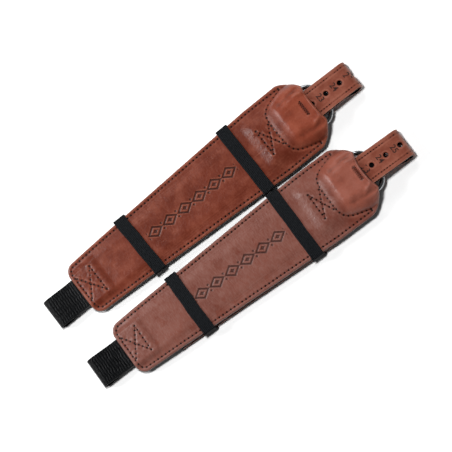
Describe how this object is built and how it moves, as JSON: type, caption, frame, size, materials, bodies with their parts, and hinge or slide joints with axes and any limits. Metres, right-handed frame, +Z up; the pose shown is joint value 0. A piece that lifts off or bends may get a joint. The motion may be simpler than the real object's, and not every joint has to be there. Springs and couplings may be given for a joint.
{
  "type": "stirrup leathers",
  "caption": "Pair of wide leather riding straps: padded leather panel, webbing loop, moulded buckle cover, perforated strap and elastic keepers.",
  "frame": {"origin": "centre of the pair's bounding box, on the surface that the pair lies on", "axes": "+X along the pair from the webbing loops to the folded straps, +Y to the left unit, +Z up out of the leather faces"},
  "size_m": [0.3004, 0.1286, 0.019],
  "materials": {
    "left_face_leather": "waxed pull-up leather, reddish brown, satin",
    "right_face_leather": "waxed pull-up leather, a paler brown, satin",
    "left_strap_leather": "waxed strap leather, satin",
    "right_strap_leather": "waxed strap leather, satin",
    "grip_lining": "black synthetic suede, matt",
    "webbing": "black ribbed nylon webbing",
    "strap_nylon": "black nylon lining",
    "elastic": "black woven elastic",
    "buckle_steel": "stainless round wire, lightly brushed",
    "left_thread": "dark brown waxed thread",
    "right_thread": "dark brown waxed thread"
  },
  "bodies": {
    "left_pad": {"left_face_panel": "left_face_leather", "left_back_panel": "grip_lining", "left_core_webbing": "webbing", "left_strap_anchor_leather": "left_strap_leather", "left_strap_anchor_lining": "strap_nylon", "left_strap_pass_leather": "left_strap_leather", "left_strap_pass_lining": "strap_nylon", "left_strap_tail_leather": "left_strap_leather", "left_strap_tail_lining": "strap_nylon", "left_edge_stitching": "left_thread", "left_cover_stitching": "left_thread", "left_end_box_stitching": "left_thread", "left_buckle_box_stitching": "left_thread", "left_cover_bar_tack": "left_thread"},
    "left_buckle": {"left_buckle_frame": "buckle_steel"},
    "left_prong": {"left_buckle_prong": "buckle_steel"},
    "left_strap_loop": {"left_strap_loop_leather": "left_strap_leather", "left_strap_loop_lining": "strap_nylon", "left_strap_loop_stitching": "left_thread"},
    "left_end_loop": {"left_end_loop_webbing": "webbing"},
    "left_low_band": {"left_low_band": "elastic", "left_low_band_stitching": "left_thread"},
    "left_high_band": {"left_high_band": "elastic", "left_high_band_stitching": "left_thread"},
    "right_pad": {"right_face_panel": "right_face_leather", "right_back_panel": "grip_lining", "right_core_webbing": "webbing", "right_strap_anchor_leather": "right_strap_leather", "right_strap_anchor_lining": "strap_nylon", "right_strap_pass_leather": "right_strap_leather", "right_strap_pass_lining": "strap_nylon", "right_strap_tail_leather": "right_strap_leather", "right_strap_tail_lining": "strap_nylon", "right_edge_stitching": "right_thread", "right_cover_stitching": "right_thread", "right_end_box_stitching": "right_thread", "right_buckle_box_stitching": "right_thread", "right_cover_bar_tack": "right_thread"},
    "right_buckle": {"right_buckle_frame": "buckle_steel"},
    "right_prong": {"right_buckle_prong": "buckle_steel"},
    "right_strap_loop": {"right_strap_loop_leather": "right_strap_leather", "right_strap_loop_lining": "strap_nylon", "right_strap_loop_stitching": "right_thread"},
    "right_end_loop": {"right_end_loop_webbing": "webbing"},
    "right_low_band": {"right_low_band": "elastic", "right_low_band_stitching": "right_thread"},
    "right_high_band": {"right_high_band": "elastic", "right_high_band_stitching": "right_thread"}
  },
  "joints": [
    {"name": "left_buckle_hinge", "type": "hinge", "parent": "left_pad", "child": "left_buckle", "pos_m": [0.08999, 0.03299, 0.01048], "axis": [-0.0166, 0.9999, 0], "range_deg": [0, 4]},
    {"name": "left_prong_hinge", "type": "hinge", "parent": "left_buckle", "child": "left_prong", "pos_m": [0.08999, 0.03299, 0.01048], "axis": [-0.0166, 0.9999, 0], "range_deg": [0, 4]},
    {"name": "left_strap_flex", "type": "hinge", "parent": "left_pad", "child": "left_strap_loop", "pos_m": [0.12934, 0.03365, 0.01034], "axis": [-0.0166, 0.9999, 0], "range_deg": [-50, 40]},
    {"name": "left_webbing_flex", "type": "hinge", "parent": "left_pad", "child": "left_end_loop", "pos_m": [-0.12548, 0.02942, 0.00582], "axis": [-0.0166, 0.9999, 0], "range_deg": [-40, 60]},
    {"name": "left_low_band_slide", "type": "slide", "parent": "left_pad", "child": "left_low_band", "axis": [0.9999, 0.0166, 0], "range_m": [-0.015, 0.008]},
    {"name": "left_high_band_slide", "type": "slide", "parent": "left_pad", "child": "left_high_band", "axis": [0.9999, 0.0166, 0], "range_m": [-0.02, 0.005]},
    {"name": "right_unit_shift", "type": "slide", "parent": "left_pad", "child": "right_pad", "axis": [0, -1, 0], "range_m": [0, 0.06]},
    {"name": "right_buckle_hinge", "type": "hinge", "parent": "right_pad", "child": "right_buckle", "pos_m": [0.08999, -0.03299, 0.01048], "axis": [0.0166, 0.9999, 0], "range_deg": [0, 4]},
    {"name": "right_prong_hinge", "type": "hinge", "parent": "right_buckle", "child": "right_prong", "pos_m": [0.08999, -0.03299, 0.01048], "axis": [0.0166, 0.9999, 0], "range_deg": [0, 4]},
    {"name": "right_strap_flex", "type": "hinge", "parent": "right_pad", "child": "right_strap_loop", "pos_m": [0.12468, -0.03357, 0.01076], "axis": [0.0166, 0.9999, 0], "range_deg": [-50, 40]},
    {"name": "right_webbing_flex", "type": "hinge", "parent": "right_pad", "child": "right_end_loop", "pos_m": [-0.12548, -0.02942, 0.00582], "axis": [0.0166, 0.9999, 0], "range_deg": [-40, 60]},
    {"name": "right_low_band_slide", "type": "slide", "parent": "right_pad", "child": "right_low_band", "axis": [0.9999, -0.0166, 0], "range_m": [-0.015, 0.008]},
    {"name": "right_high_band_slide", "type": "slide", "parent": "right_pad", "child": "right_high_band", "axis": [0.9999, -0.0166, 0], "range_m": [-0.02, 0.005]}
  ]
}
